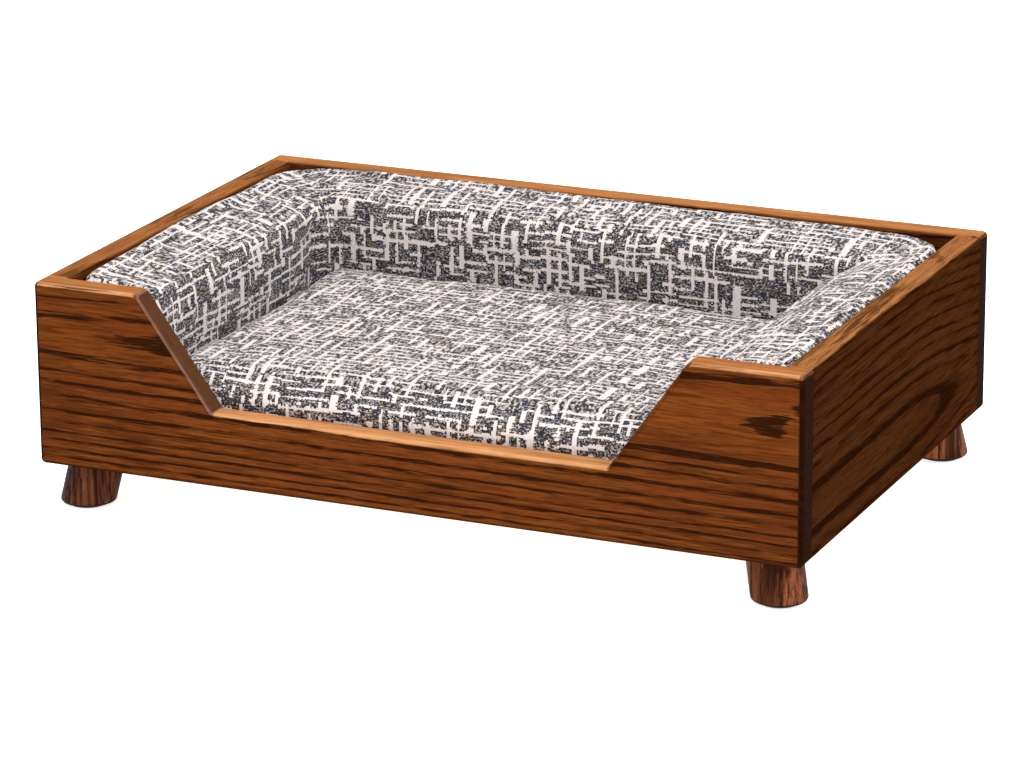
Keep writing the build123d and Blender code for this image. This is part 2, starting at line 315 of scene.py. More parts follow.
class Grain(Enum):
    """The way that the length of a piece of wood runs. The value gives along, depth and height axes."""

    ACROSS = (0, 1, 2)
    FRONT_TO_BACK = (1, 0, 2)
    UPRIGHT = (2, 0, 1)


@dataclass(frozen=True)
class Streaks:
    """Noise that runs with the grain: how often it changes in a metre along it and across it."""

    lengthwise: float
    crosswise: float
    detail: float = 0.0


LONG_WAVES = Streaks(3.6, 10.0)
SHORT_WAVES = Streaks(13.0, 52.0, 1.0)
FRAYING = Streaks(26.0, 460.0, 1.0)
FADING = Streaks(12.0, 120.0, 1.0)
RAGGED_TIP = Streaks(16.0, 420.0, 1.0)
LONG_PORES = Streaks(40.0, 900.0, 1.0)
FINE_PORES = Streaks(120.0, 2300.0)
FIBRE = Streaks(26.0, 480.0, 2.0)
BLUSH = Streaks(7.0, 60.0, 2.0)
# Patches along the painted highlight on the rounded top edges.
HIGHLIGHT_PATCHES = Streaks(20.0, 160.0, 1.0)
SAW_MARKS = (900.0, 60.0)
END_PITS = (1500.0, 1500.0)


class OakFace:
    """What a finish reads at a point of a piece of oak."""

    def __init__(self, name: str, grain: Grain, offset: float) -> None:
        """Starts the finish's material.

        Args:
            name: The material's name.
            grain: The way that the piece's length runs.
            offset: The place in the noise that this piece is cut from.
        """
        self.graph = Graph(name)
        self.place = self.graph.place()
        self.along, self.depth, self.height = (self.place[axis] for axis in grain.value)
        facing = self.graph.facing()
        self.lengthwise, self.upward = facing[grain.value[0]], facing[2]
        self.offset = offset

    def streaks(self, kind: Streaks) -> Wire:
        """Noise that runs with the grain.

        Args:
            kind: How it is stretched.

        Returns:
            The noise, from 0 to 1.
        """
        along = self.along * kind.lengthwise + self.offset
        across = (self.depth * kind.crosswise, self.height * kind.crosswise)
        return self.graph.noise(self.graph.point(along, *across), kind.detail)


@dataclass(frozen=True)
class Arch:
    """A dark tip where a growth ring just touches the board's face.

    It starts at a place along and up the board, widens to the right, keeps its width after a run
    and stops at its length. All lengths are in metres.
    """

    along: float
    height: float
    run: float
    length: float
    half_width: float
    softness: float

    def weight(self, face: OakFace) -> Wire:
        """How dark the arch makes the wood.

        Args:
            face: The point of oak.

        Returns:
            Nearly 1 well inside the arch and 0 outside it.
        """
        past = (face.along - self.along) + face.streaks(RAGGED_TIP).around(0.45 * self.run)
        widening = (past * (1 / self.run)).least(1.0)
        gap = (face.height - self.height) * (1 / self.half_width)
        inside = (widening - gap * gap).step(0.0, self.softness)
        return inside * past.step(self.length, 1.2 * self.length, 0.92, 0.0)


@dataclass(frozen=True)
class StainedOak:
    """Ring-porous oak under a brown stain and a thin matt oil.

    The growth rings are cones round a heart that runs behind the board's face. Where the face
    cuts them they are lines, and an arch where the heart comes near the face.
    """

    name: str
    grain: Grain
    heart_height: float
    heart_depth: float
    years: tuple[float, ...] = ()
    arches: tuple[Arch, ...] = ()
    tilt: float = 0.0
    closing: float = 0.0
    ring_width: float = 8.6 * MM
    unevenness: float = 3.2 * MM
    dark_part: Pair = (0.18, 0.56)
    bold_ring: float = -1.0
    bold_by: float = 0.26
    bold_from: float = -1.0
    bold_run: float = 90 * MM
    taper: float = 0.0
    taper_start: float = 0.0
    taper_softness: float = 40 * MM
    sway: float = 3.0 * MM
    fraying: float = 1.3 * MM
    tone: float = 1.0
    # Painted shade and light across the lounger: pieces to the left are darker by this share, those to the
    # right lighter.
    left_right_shading: float = 0.0
    tone_span: Pair = (-200 * MM, 200 * MM)
    # Share of the tops' lightening: partly rubbed oil, partly a painted highlight from the light above.
    top_wear_and_light: float = 0.94
    # Share of the dark lines that stays on the tops, where the painted highlight washes them out.
    open_top: float = 0.16
    # How strongly the highlights on the sill, the rounded top edges and the arrises are painted.
    highlights: float = 0.0
    # Heights of the sill, whose top gets the lightest painted highlight.
    sill_span: Pair = (100 * MM, 150 * MM)
    gloss: float = 0.001
    pore_depth: float = 0.22 * MM
    offset: float = 0.0
    clouds: Streaks = Streaks(5.0, 20.0, 2.0)
    cloudy: float = 0.38
    contrast: float = 0.84
    plain: Colour = hue(0.168, 0.0465, 0.0092)
    ripe: Colour = hue(0.074, 0.0185, 0.0040)
    russet: Colour = hue(0.132, 0.0300, 0.0066)
    pore: Colour = hue(0.021, 0.0062, 0.0020)
    # The tops' colour: rubbed oil, lightened further as a painted highlight.
    rubbed_and_lit: Colour = hue(0.470, 0.188, 0.060)
    # The sill top's colour: a lighter painted highlight.
    lit_top: Colour = hue(0.600, 0.272, 0.105)
    # A painted highlight on the rounded top edges.
    edge_highlight: Colour = hue(0.640, 0.310, 0.130)
    # The notch slopes' sawn wood, greyed by a painted sheen.
    sawn_and_sheen: Colour = hue(0.088, 0.0380, 0.0190)
    # A painted highlight on the rounded arrises that face +x.
    arris_highlight: Colour = hue(0.185, 0.1000, 0.0720)
    # The end grain's colour: the stain soaks in darker, and a painted shade darkens it further.
    end: Colour = hue(0.0105, 0.0032, 0.0010)

    def make(self) -> Material:
        """Builds the finish.

        Returns:
            The material.
        """
        face = OakFace(self.name, self.grain, self.offset)
        graph = face.graph
        ring = self.ring_phase(face)
        line = self.line_weight(face, ring)
        long_pores, fine_pores = face.streaks(LONG_PORES), face.streaks(FINE_PORES)
        hollow = line + long_pores.around(0.86) + fine_pores.around(0.34)
        specks = (long_pores * 0.6 + fine_pores * 0.4).step(0.49, 0.66, 0.0, 0.50)
        darkness = hollow.step(0.26, 0.84).most(specks)
        fibre = face.streaks(FIBRE)
        # The tops are lightened, partly as rubbed oil and partly as a painted highlight from the light
        # above, and their dark lines fade.
        top = face.upward.step(0.45, 0.95) * self.top_wear_and_light
        rubbing_and_light = top * fibre.step(0.32, 0.62, 1.0, 0.68)
        topped = self.rubbed_and_lit_top(face, self.stained(face, ring, fibre), rubbing_and_light)
        deepest = hue(*(channel * math.sqrt(self.tone) for channel in self.pore[:3]))
        grained = graph.tint(darkness * (1.0 - top * (1 - self.open_top)), topped, deepest)
        dull = fibre.step(0.3, 0.7, 0.34, 0.46) + darkness * 0.16
        graph.surface(self.cut_faces(face, grained, line, deepest), dull, Specular_IOR_Level=self.gloss)
        graph.relief(fibre * 0.25 - darkness, self.pore_depth, 0.7)
        return graph.material

    def ring_phase(self, face: OakFace) -> Wire:
        """Counts the growth rings out from the heart.

        Args:
            face: The point of oak.

        Returns:
            The ring's number, with the share of the way to the next.
        """
        up = (face.height - self.heart_height) - face.along * self.tilt
        back = face.depth - self.heart_depth
        radius = (up * up + back * back - face.along * self.closing).most(0.0).root()
        past = face.along - self.taper_start
        cone = ((past * past + self.taper_softness**2).root() + past) * (self.taper / 2)
        long_sway = face.streaks(LONG_WAVES).around(self.sway)
        short_sway = face.streaks(SHORT_WAVES).around(0.4 * self.sway)
        ring = radius + cone + (long_sway + short_sway + face.streaks(FRAYING).around(self.fraying))
        graph = face.graph
        if not self.years:
            uneven = graph.noise(graph.point(ring * 55.0, self.offset)).around(self.unevenness)
            return (ring + uneven) * (1 / self.ring_width)
        last, count = self.years[-1], len(self.years)
        chart = [(0.0, 0.0)] + [(year / last, (i + 1) / count) for i, year in enumerate(self.years)]
        counted = graph.chart(ring * (1 / last), chart) * float(count)
        return counted + (ring - last).most(0.0) * (1 / self.ring_width)

    def line_weight(self, face: OakFace, ring: Wire) -> Wire:
        """How far a point is in the dark line of its ring, or in an arch.

        Args:
            face: The point of oak.
            ring: The ring's number, with the share of the way to the next.

        Returns:
            1 in the middle of a line and 0 in the wood between.
        """
        graph, share, number = face.graph, ring.fraction(), ring.floor()
        is_bold = graph.add("Math", {0: number, 1: self.bold_ring, 2: 0.5}, operation="COMPARE")
        bold = is_bold * face.along.step(self.bold_from, self.bold_from + self.bold_run)
        band = share.step(0.0, 0.10) * (share - bold * self.bold_by).step(*self.dark_part, 1.0, 0.0)
        strength = graph.dice(number, self.offset).spread(0.86, 1.0)
        weight = band * (strength * bold.most(face.streaks(FADING).step(0.34, 0.56, 0.50, 1.0)))
        for arch in self.arches:
            weight = weight.most(arch.weight(face))
        return weight

    def stained(self, face: OakFace, ring: Wire, fibre: Wire) -> Wire:
        """The stained wood between its dark lines.

        Args:
            face: The point of oak.
            ring: The ring's number, with the share of the way to the next.
            fibre: The fibre's noise.

        Returns:
            The colour.
        """
        graph, share = face.graph, ring.fraction()
        mellow = (fibre * (1 - self.cloudy) + face.streaks(self.clouds) * self.cloudy).step(0.38, 0.62)
        late, after = share.step(0.55, 1.0, 0.0, 0.30), share.step(0.30, 0.70, 0.30, 0.0)
        ripeness = mellow * self.contrast + late + after
        blush = face.streaks(BLUSH).step(0.44, 0.66, 0.0, 0.60)
        body = graph.tint(blush, graph.tint(ripeness, self.plain, self.ripe), self.russet)
        # Painted shade and light from left to right across the lounger.
        tones = (self.tone - self.left_right_shading, self.tone + self.left_right_shading)
        return graph.shaded(body, face.place[0].step(*self.tone_span, *tones))

    def rubbed_and_lit_top(self, face: OakFace, body: Wire, rubbing_and_light: Wire) -> Wire:
        """Lightens the tops, partly as rubbed oil and partly as a painted highlight from the light above,
        the sill most of all, and paints a highlight along the rounded top edges.

        Args:
            face: The point of oak.
            body: The stained wood.
            rubbing_and_light: How far the top is lightened, by rubbing and by painted highlight.

        Returns:
            The colour.
        """
        graph, up = face.graph, face.upward
        # The sill gets the lightest painted highlight.
        on_sill = face.height.step(*self.sill_span, 1.0, 0.0) * self.highlights
        topped = graph.tint(rubbing_and_light, body, graph.tint(on_sill, self.rubbed_and_lit, self.lit_top))
        # A painted highlight line along the rounded top edges, broken into patches.
        rounded = up.step(0.18, 0.55) * up.step(0.86, 0.985, 1.0, 0.0)
        level = abs(face.lengthwise).step(0.08, 0.30, 1.0, 0.0)
        wear_and_light = rounded * level * face.streaks(HIGHLIGHT_PATCHES).step(0.30, 0.60, 0.40, 0.85)
        return graph.tint(wear_and_light * self.highlights, topped, self.edge_highlight)

    def cut_faces(self, face: OakFace, grained: Wire, line: Wire, deepest: Colour) -> Wire:
        """Colours the notch's slopes, greyed as a painted sheen, and their corners with a painted
        highlight; paints shade on the underside; and darkens the end grain and the rounded upright corners,
        partly as a painted shade.

        Args:
            face: The point of oak.
            grained: The wood's colour elsewhere.
            line: How far the point is in a dark line.
            deepest: The darkest pores.

        Returns:
            The finish's colour.
        """
        graph, up, turned = face.graph, face.upward, face.lengthwise
        upward = up.step(0.10, 0.25)
        # The end grain and the rounded upright corners: darker partly from the stain, partly as a painted
        # shade.
        end_grain_and_shade = abs(turned).step(0.04, 0.42) * (1.0 - upward)
        is_slope = abs(turned).step(0.55, 0.75) * up.step(0.30, 0.50)
        # A painted highlight on the rounded arrises that face +x, where the light falls; those facing -x,
        # in shade, keep the wood's colour.
        lit_arris = (turned.step(0.28, 0.50) + turned.step(0.58, 0.76, 0.0, -1.0)) * upward
        cut = (face.depth, face.height)
        marks = graph.speckle(cut, SAW_MARKS, 2.0)
        # The slopes' sawn wood with saw marks, greyed as a painted sheen.
        sawn_and_sheen = graph.tint(marks.step(0.36, 0.66, 0.0, 0.55), self.sawn_and_sheen, self.ripe)
        colour = graph.tint(is_slope, grained, sawn_and_sheen)
        colour = graph.tint(lit_arris * marks.step(0.30, 0.60, 0.5, 0.9) * self.highlights, colour, self.arris_highlight)
        # Painted shade on the downward faces.
        colour = graph.tint(up.step(-0.60, -0.12, 0.72, 0.0), colour, deepest)
        pits = graph.speckle(cut, END_PITS).step(0.50, 0.70, 0.0, 0.5)
        # The end grain and rounded upright corners take the dark end colour, partly a painted shade.
        return graph.tint(end_grain_and_shade, colour, graph.tint(pits + line * 0.5, self.end, deepest))


@dataclass(frozen=True)
class PlainWood:
    """Unfinished inner timber: cleats, blocks and dowels."""

    name: str
    pale: Colour
    deep: Colour
    ring_width: float = 3.2 * MM

    def make(self) -> Material:
        """Builds the finish.

        Returns:
            The material.
        """
        graph = Graph(self.name)
        place = _, depth, height = graph.place()
        waver = graph.speckle(place, (6.0, 30.0, 30.0), 2.0).around(3 * MM)
        rings = ((height + depth * 0.6 + waver) * (1 / self.ring_width)).fraction()
        fibre = graph.speckle(place, (40.0, 1400.0, 1400.0), 2.0)
        deep = rings.step(0.45, 1.0) * 0.6 + fibre.step(0.35, 0.7) * 0.4
        graph.surface(graph.tint(deep, self.pale, self.deep), 0.62, Specular_IOR_Level=0.3)
        graph.relief(fibre, 0.15 * MM, 0.6)
        return graph.material


@dataclass(frozen=True)
class Plywood:
    """Birch plywood: rotary-cut faces, and the plies' dark and light lines at the edges."""

    name: str
    pale: Colour = hue(0.62, 0.44, 0.26)
    deep: Colour = hue(0.42, 0.27, 0.14)
    ply: float = 1.2 * MM

    def make(self) -> Material:
        """Builds the finish.

        Returns:
            The material.
        """
        graph = Graph(self.name)
        place = x, y, z = graph.place()
        waves = (graph.speckle((x, y), (3.0, 16.0), 3.0) * 6.0 + y * 8.0).fraction()
        fibre = graph.speckle(place, (60.0, 1200.0, 1200.0), 1.0)
        face = waves.step(0.3, 1.0) * 0.55 + fibre.step(0.4, 0.7) * 0.35
        edge = (z * (1 / self.ply)).zigzag(1.0).step(0.42, 0.58, 0.15, 1.0)
        flat = abs(graph.facing()[2]).step(0.5, 0.8)
        deep = flat * face + (1.0 - flat) * edge
        graph.surface(graph.tint(deep, self.pale, self.deep), 0.6, Specular_IOR_Level=0.3)
        graph.relief(fibre, 0.1 * MM, 0.5)
        return graph.material


@dataclass(frozen=True)
class Metal:
    """Plated hardware with fine handling marks."""

    name: str
    colour: Colour
    wear_and_light: Colour
    roughness: float = 0.32

    def make(self) -> Material:
        """Builds the finish.

        Returns:
            The material.
        """
        graph = Graph(self.name)
        place = graph.place()
        marks = graph.speckle(place, (900.0, 900.0, 2400.0), 3.0)
        patches = graph.speckle(place, (160.0, 160.0, 160.0), 2.0)
        wear_and_light = (marks * 0.4 + patches * 0.6).step(0.40, 0.64)
        rough = marks.around(0.09) + self.roughness
        graph.surface(graph.tint(wear_and_light, self.colour, self.wear_and_light), rough, Metallic=1.0)
        graph.relief(marks, 0.03 * MM, 0.5)
        return graph.material


@dataclass(frozen=True)
class Moulded:
    """Black moulded plastic with a fine spark texture."""

    name: str
    colour: Colour = hue(0.012, 0.011, 0.010)
    scuffed: Colour = hue(0.035, 0.033, 0.030)

    def make(self) -> Material:
        """Builds the finish.

        Returns:
            The material.
        """
        graph = Graph(self.name)
        place = graph.place()
        spark = graph.speckle(place, (2600.0, 2600.0, 2600.0), 1.0)
        scuffs = graph.speckle(place, (220.0, 400.0, 220.0), 3.0)
        colour = graph.tint(scuffs.step(0.52, 0.72), self.colour, self.scuffed)
        graph.surface(colour, scuffs.step(0.3, 0.7, 0.46, 0.62), Specular_IOR_Level=0.4)
        graph.relief(spark, 0.05 * MM, 0.6)
        return graph.material


class Weave:
    """What the tweed reads at a point: the number of its yarns each way, and the yarns' middles."""

    def __init__(self, name: str, end: float, pick: float) -> None:
        """Starts the tweed's material.

        Args:
            name: The material's name.
            end: The width of a lengthwise yarn.
            pick: The height of a crosswise yarn.
        """
        self.graph = Graph(name)
        self.u, self.v, _ = self.graph.parts(self.graph.add("UVMap", {}, uv_map=WEAVE_MAP))
        self.numbers = (self.u * (1 / end)).floor(), (self.v * (1 / pick)).floor()
        self.across = (self.numbers[0] + 0.5) * end
        self.along = (self.numbers[1] + 0.5) * pick

    def yarn(self, seed: float) -> Wire:
        """One random value for each crossing of two yarns."""
        return self.graph.dice(*self.numbers, seed)

    def mottle(self, across: float, along: float, seed: float, detail: float = 0.0) -> Wire:
        """Smooth noise that changes so many times in a metre, each way."""
        return self.graph.noise(self.graph.point(self.u * across, self.v * along, seed), detail)


@dataclass(frozen=True)
class BarSet:
    """One set of the tweed's bars: their mean pitch in metres, and shares of that pitch."""

    pitch: float
    seed: float
    thin: float
    thick: float
    ragged: float
    breaks: float
    gaps: float


@dataclass(frozen=True)
class Tweed:
    """A chenille tweed: off-white crosshatch bars over a charcoal ground with coloured flecks.

    The pattern is worked out pick by pick on the cover's own weave map, in metres.
    """

    name: str
    pick: float = 0.90 * MM
    end: float = 1.25 * MM
    uprights: BarSet = BarSet(9.2 * MM, 23.0, 0.115, 0.24, 0.036, 0.45, 0.485)
    levels: BarSet = BarSet(7.2 * MM, 71.0, 0.115, 0.185, 0.055, 0.26, 0.458)
    chalk: Colour = hue(0.80, 0.728, 0.710)
    ash: Colour = hue(0.20, 0.185, 0.180)
    salt: Colour = hue(0.66, 0.600, 0.585)
    charcoal: Colour = hue(0.017, 0.0150, 0.0160)
    navy: Colour = hue(0.022, 0.032, 0.072)
    olive: Colour = hue(0.046, 0.043, 0.022)
    mauve: Colour = hue(0.060, 0.040, 0.042)
    straw: Colour = hue(0.310, 0.262, 0.170)
    lilac: Colour = hue(0.255, 0.245, 0.325)

    def make(self) -> Material:
        """Builds the finish.

        Returns:
            The material.
        """
        weave = Weave(self.name, self.end, self.pick)
        graph, yarn = weave.graph, weave.yarn(3.0)
        uprights = self.bars(weave.across, weave.along, self.uprights)
        bar = uprights.most(self.bars(weave.along, weave.across, self.levels))
        # Upward faces get a painted sheen: more pale flecks on the ground, and slightly dimmed bars.
        lit_top = graph.facing()[2].step(0.55, 0.95)
        hues = weave.mottle(110.0, 150.0, 14.0, 1.0) * 0.62 + weave.yarn(21.0) * 0.38
        ground, fleck = self.ground(weave, hues), self.fleck(weave, hues)
        flecked = graph.tint(self.flecks(weave, yarn, lit_top), ground, fleck)
        # The bars' own random shade, dimmed on the upward faces as a painted shade.
        wear_and_light = weave.yarn(6.0).step(0.0, 1.0, 0.86, 1.0) * (1.0 - lit_top * 0.12)
        colour = graph.tint(bar, flecked, graph.shaded(self.chalk, wear_and_light))
        loop = abs((weave.u * (math.pi / self.end)).sine() * (weave.v * (math.pi / self.pick)).sine())
        graph.surface(colour, 0.92, Specular_IOR_Level=0.03, Sheen_Weight=0.17, Sheen_Roughness=0.26)
        graph.relief(bar * 0.7 + loop * 0.35 + yarn * 0.25, 0.45 * MM, 0.75)
        return graph.material

    def flecks(self, weave: Weave, yarn: Wire, lit_top: Wire) -> Wire:
        """Where the pale flecks show. On the upward faces they are looser and more, as a painted sheen.

        Args:
            weave: The point of tweed.
            yarn: A random value for each yarn.
            lit_top: How far the face faces upward, where the sheen is painted.

        Returns:
            Nearly 1 on a fleck and 0 beside it.
        """
        patch = weave.mottle(55.0, 75.0, 5.0, 1.0)
        tight = weave.mottle(560.0, 760.0, 9.0).step(0.34, 0.66)
        loose = weave.mottle(420.0, 230.0, 19.0).step(0.39, 0.61)
        # On the upward faces the flecks are looser and more, as a painted sheen.
        tuft = tight * (1.0 - lit_top) + loose * lit_top
        own = 0.5 - lit_top * 0.25
        salt = (yarn * own + tuft * (1.0 - own) + (patch - 0.5) * 0.55 + lit_top * 0.06).step(0.62, 0.69)
        return (salt * 0.90).most(weave.mottle(160.0, 950.0, 2.0).step(0.66, 0.72) * 0.75)

    def ground(self, weave: Weave, hues: Wire) -> Wire:
        """The dark ground, with its blue, green and plum yarns.

        Args:
            weave: The point of tweed.
            hues: The slow change of colour.

        Returns:
            The colour.
        """
        graph, faded = weave.graph, weave.yarn(51.0)
        ground = graph.tint(hues.step(0.56, 0.66, 0.0, 0.9), self.charcoal, self.navy)
        ground = graph.tint(hues.step(0.44, 0.36, 0.0, 0.9), ground, self.olive)
        ground = graph.tint(weave.yarn(33.0).step(0.80, 0.86) * 0.8, ground, self.mauve)
        return graph.tint(faded * faded * 0.26, ground, self.ash)

    def fleck(self, weave: Weave, hues: Wire) -> Wire:
        """The pale flecks' colour.

        Args:
            weave: The point of tweed.
            hues: The slow change of colour.

        Returns:
            The colour.
        """
        graph = weave.graph
        fleck = graph.tint(weave.yarn(8.0).step(0.1, 0.9), self.ash, self.salt)
        fleck = graph.tint(hues.step(0.42, 0.36, 0.0, 0.8), fleck, self.straw)
        return graph.tint(hues.step(0.60, 0.66, 0.0, 0.7), fleck, self.lilac)

    def bars(self, across: Wire, along: Wire, kind: BarSet) -> Wire:
        """One set of broken bars.

        Args:
            across: The distance across the bars.
            along: The distance along them.
            kind: How the bars of this set are.

        Returns:
            1 on a bar and 0 beside it.
        """
        graph, pitch, seed = across.graph, kind.pitch, kind.seed
        uneven = graph.noise(graph.point(across * 45.0, seed)).around(0.75 * pitch)
        drift = graph.noise(graph.point(across * 20.0, seed + 1))
        block = (along * (1 / (3.1 * pitch)) + drift).floor()
        shift = graph.dice(block, seed, 1.0) * (0.55 * pitch)
        lean = graph.noise(graph.point(across * 18.0, along * 26.0, seed + 2)).around(0.12 * pitch)
        phase = (across + uneven + shift + lean) * (1 / pitch)
        number = phase.floor()
        chance = graph.dice(number, block, seed + 3)
        pick_number = (along * (1 / self.pick)).floor()
        edge = graph.dice(number, pick_number, seed + 4).around(kind.ragged)
        half_width = (chance * chance).spread(kind.thin, kind.thick) + edge
        on_bar = abs(phase.fraction() - 0.5).is_below(half_width)
        runs = graph.noise(graph.point(number * 7.31, along * (kind.breaks / pitch), block * 0.37 + seed))
        return on_bar * runs.is_above(kind.gaps)


# Soft goods


@dataclass
class Ring:
    """One ring of points round a stuffed tube, with the weave's distance at each.

    The weave may jump at a ring, as at a mitred corner, so it has one value for the faces before
    the ring and one for those after it.
    """

    points: np.ndarray
    before: np.ndarray
    after: np.ndarray

    def mirrored(self, middle: float) -> "Ring":
        """The same ring on the other side, for a weave that is symmetric about a middle."""
        return Ring(self.points * np.array([-1, 1, 1]), 2 * middle - self.after, 2 * middle - self.before)

    def shrunk(self, share: float) -> "Ring":
        """A smaller copy round the same centre."""
        centre = self.points.mean(0)
        return Ring(centre + (self.points - centre) * share, self.before, self.after)


def tube_mesh(name: str, rings: Sequence[Ring], vs: Sequence[float], caps: Sequence[float]) -> Piece:
    """A closed skin over a row of rings, with a weave map in metres.

    Args:
        name: The piece's name.
        rings: The rings, in order.
        vs: The weave's distance for each place on a ring, and one more for its return.
        caps: The shares at which the end rings shrink to close the ends.

    Returns:
        The new piece.
    """
    first, last = rings[0], rings[-1]
    rows = [first.shrunk(share) for share in reversed(caps)] + list(rings)
    rows += [last.shrunk(share) for share in caps]
    count = len(first.points)
    points = [tuple(p) for row in rows for p in row.points]
    start_tip, end_tip = len(points), len(points) + 1
    points += [tuple(first.points.mean(0)), tuple(last.points.mean(0))]
    faces: list[tuple[int, ...]] = []
    weave: list[tuple[Pair, ...]] = []
    for i, (row, following) in enumerate(zip(rows, rows[1:])):
        for j in range(count):
            k = (j + 1) % count
            faces.append((i * count + j, i * count + k, (i + 1) * count + k, (i + 1) * count + j))
            near, far = (row.after[j], row.after[k]), (following.before[j], following.before[k])
            if len(caps) <= i < len(rows) - 1 - len(caps):
                weave.append(((near[0], vs[j]), (near[1], vs[j + 1]), (far[1], vs[j + 1]), (far[0], vs[j])))
            else:
                weave.append(tuple((points[n][0], points[n][2]) for n in faces[-1]))
    end = (len(rows) - 1) * count
    for j in range(count):
        k = (j + 1) % count
        for face in ((start_tip, k, j), (end_tip, end + j, end + k)):
            faces.append(face)
            weave.append(tuple((points[n][0], points[n][2]) for n in face))
    return woven_piece(name, points, faces, weave)


def woven_piece(
    name: str, points: Sequence[Spot], faces: Sequence[tuple[int, ...]], weave: Sequence[Sequence[Pair]]
) -> Piece:
    """Makes a smooth-shaded piece with a weave map.

    Args:
        name: The piece's name.
        points: Its vertices, in metres.
        faces: Its faces, outward.
        weave: The weave map's point for each corner of each face.

    Returns:
        The new piece.
    """
    mesh = bpy.data.meshes.new(name)
    mesh.from_pydata([Vector(p) for p in points], [], faces)
    layer = mesh.uv_layers.new(name=WEAVE_MAP)
    layer.data.foreach_set("uv", [value for corners in weave for pair in corners for value in pair])
    mesh.polygons.foreach_set("use_smooth", [True] * len(mesh.polygons))
    mesh.update()
    piece = bpy.data.objects.new(name, mesh)
    bpy.context.scene.collection.objects.link(piece)
    return piece


def even_loop(points: Sequence[Pair], spacing: float) -> list[Pair]:
    """Sets points at even distances round a closed line.

    Args:
        points: The line's corners.
        spacing: The distance that is wanted.

    Returns:
        The evenly spaced points.
    """
    line = np.array(list(points) + [points[0]])
    gone = np.concatenate([[0.0], np.cumsum(np.linalg.norm(np.diff(line, axis=0), axis=1))])
    where = np.linspace(0, gone[-1], round(gone[-1] / spacing), endpoint=False)
    return list(zip(np.interp(where, gone, line[:, 0]), np.interp(where, gone, line[:, 1])))


def mesh_points(piece: Piece) -> np.ndarray:
    """Looks up where a piece's vertices are.

    Args:
        piece: The piece.

    Returns:
        A row for each vertex, in metres.
    """
    flat = np.empty(len(piece.data.vertices) * 3)
    piece.data.vertices.foreach_get("co", flat)
    return flat.reshape(-1, 3)


def set_mesh_points(piece: Piece, points: np.ndarray) -> None:
    """Moves a piece's vertices."""
    piece.data.vertices.foreach_set("co", points.astype(np.float32).ravel())
    piece.data.update()


def ease(share: float) -> float:
    """A smooth step from 0 to 1."""
    share = min(1.0, max(0.0, share))
    return share * share * (3 - 2 * share)


@dataclass(frozen=True)
class Stuffing:
    """How a sewn cover is blown up over its foam by a cloth simulation."""

    pressure: float
    most: float
    frames: int = 14
    quality: int = 5
    mass: float = 0.25
    tension: float = 18.0
    bending: float = 0.6

    def fill(self, piece: Piece, give: Callable[[np.ndarray], np.ndarray]) -> None:
        """Puffs the piece up, and caps how far each point moves.

        Args:
            piece: The cover, which keeps its weave map.
            give: The share of its move that each point may make, worked out from all the points.
        """
        before = mesh_points(piece)
        cloth = piece.modifiers.new("stuffing", "CLOTH")
        settings = cloth.settings
        settings.quality = self.quality
        settings.mass = self.mass
        settings.tension_stiffness = settings.compression_stiffness = self.tension
        settings.shear_stiffness = self.tension / 2
        settings.bending_stiffness = self.bending
        settings.use_pressure = True
        settings.uniform_pressure_force = self.pressure
        settings.effector_weights.gravity = 0.0
        cloth.point_cache.frame_start = 1
        cloth.point_cache.frame_end = self.frames
        scene = bpy.context.scene
        for frame in range(1, self.frames + 1):
            scene.frame_set(frame)
        stuffed = piece.evaluated_get(bpy.context.evaluated_depsgraph_get())
        drift = np.array([vertex.co for vertex in stuffed.data.vertices], float) - before
        piece.modifiers.remove(cloth)
        scene.frame_set(1)
        length = np.linalg.norm(drift, axis=1, keepdims=True)
        capped = drift * np.minimum(1.0, self.most / np.maximum(length, TINY)) * give(before)[:, None]
        set_mesh_points(piece, before + capped)
        log.info("%s: stuffed, mean move %.1f mm", piece.name, float(length.mean()) / MM)


@dataclass(frozen=True)
class Lumps:
    """A cushion's unevenness: how often it changes in a metre, its height, and its own seed."""

    often: float
    height: float
    seed: Spot = (0.0, 0.0, 0.0)

    def at(self, place: Vector) -> float:
        """The height at a place."""
        return noise.noise(place * self.often + Vector(self.seed)) * self.height


@dataclass(frozen=True)
class Swell:
    """A place in plan where a cushion stands a little higher, or lower."""

    x: float
    y: float
    reach_x: float
    reach_y: float
    height: float

    def at(self, place: Vector) -> float:
        """The swell's height at a place."""
        away = ((place.x - self.x) / self.reach_x) ** 2 + ((place.y - self.y) / self.reach_y) ** 2
        return self.height * math.exp(-away / 2)


class Cushion:
    """A cover that is sewn, stuffed over its foam and settled between what is round it.

    Each kind says how it is sewn, what slack its points have and how much room there is for them.
    """

    stuffing: Stuffing

    def build(self, cloth: Material) -> Piece:
        """Sews, stuffs and settles the cushion.

        Args:
            cloth: The cover's finish.

        Returns:
            The finished piece.
        """
        piece = self.sew()
        self.stuffing.fill(piece, self.give)
        points = mesh_points(piece)
        for point in points:
            self.settle(point, Vector(point))
        set_mesh_points(piece, np.clip(points, *self.room()))
        piece.data.materials.append(cloth)
        log.info("%s: %s", piece.name, cloth.name)
        return piece

    def give(self, points: np.ndarray) -> np.ndarray:
        """How freely each point moves when the cover is stuffed."""
        return np.ones(len(points))


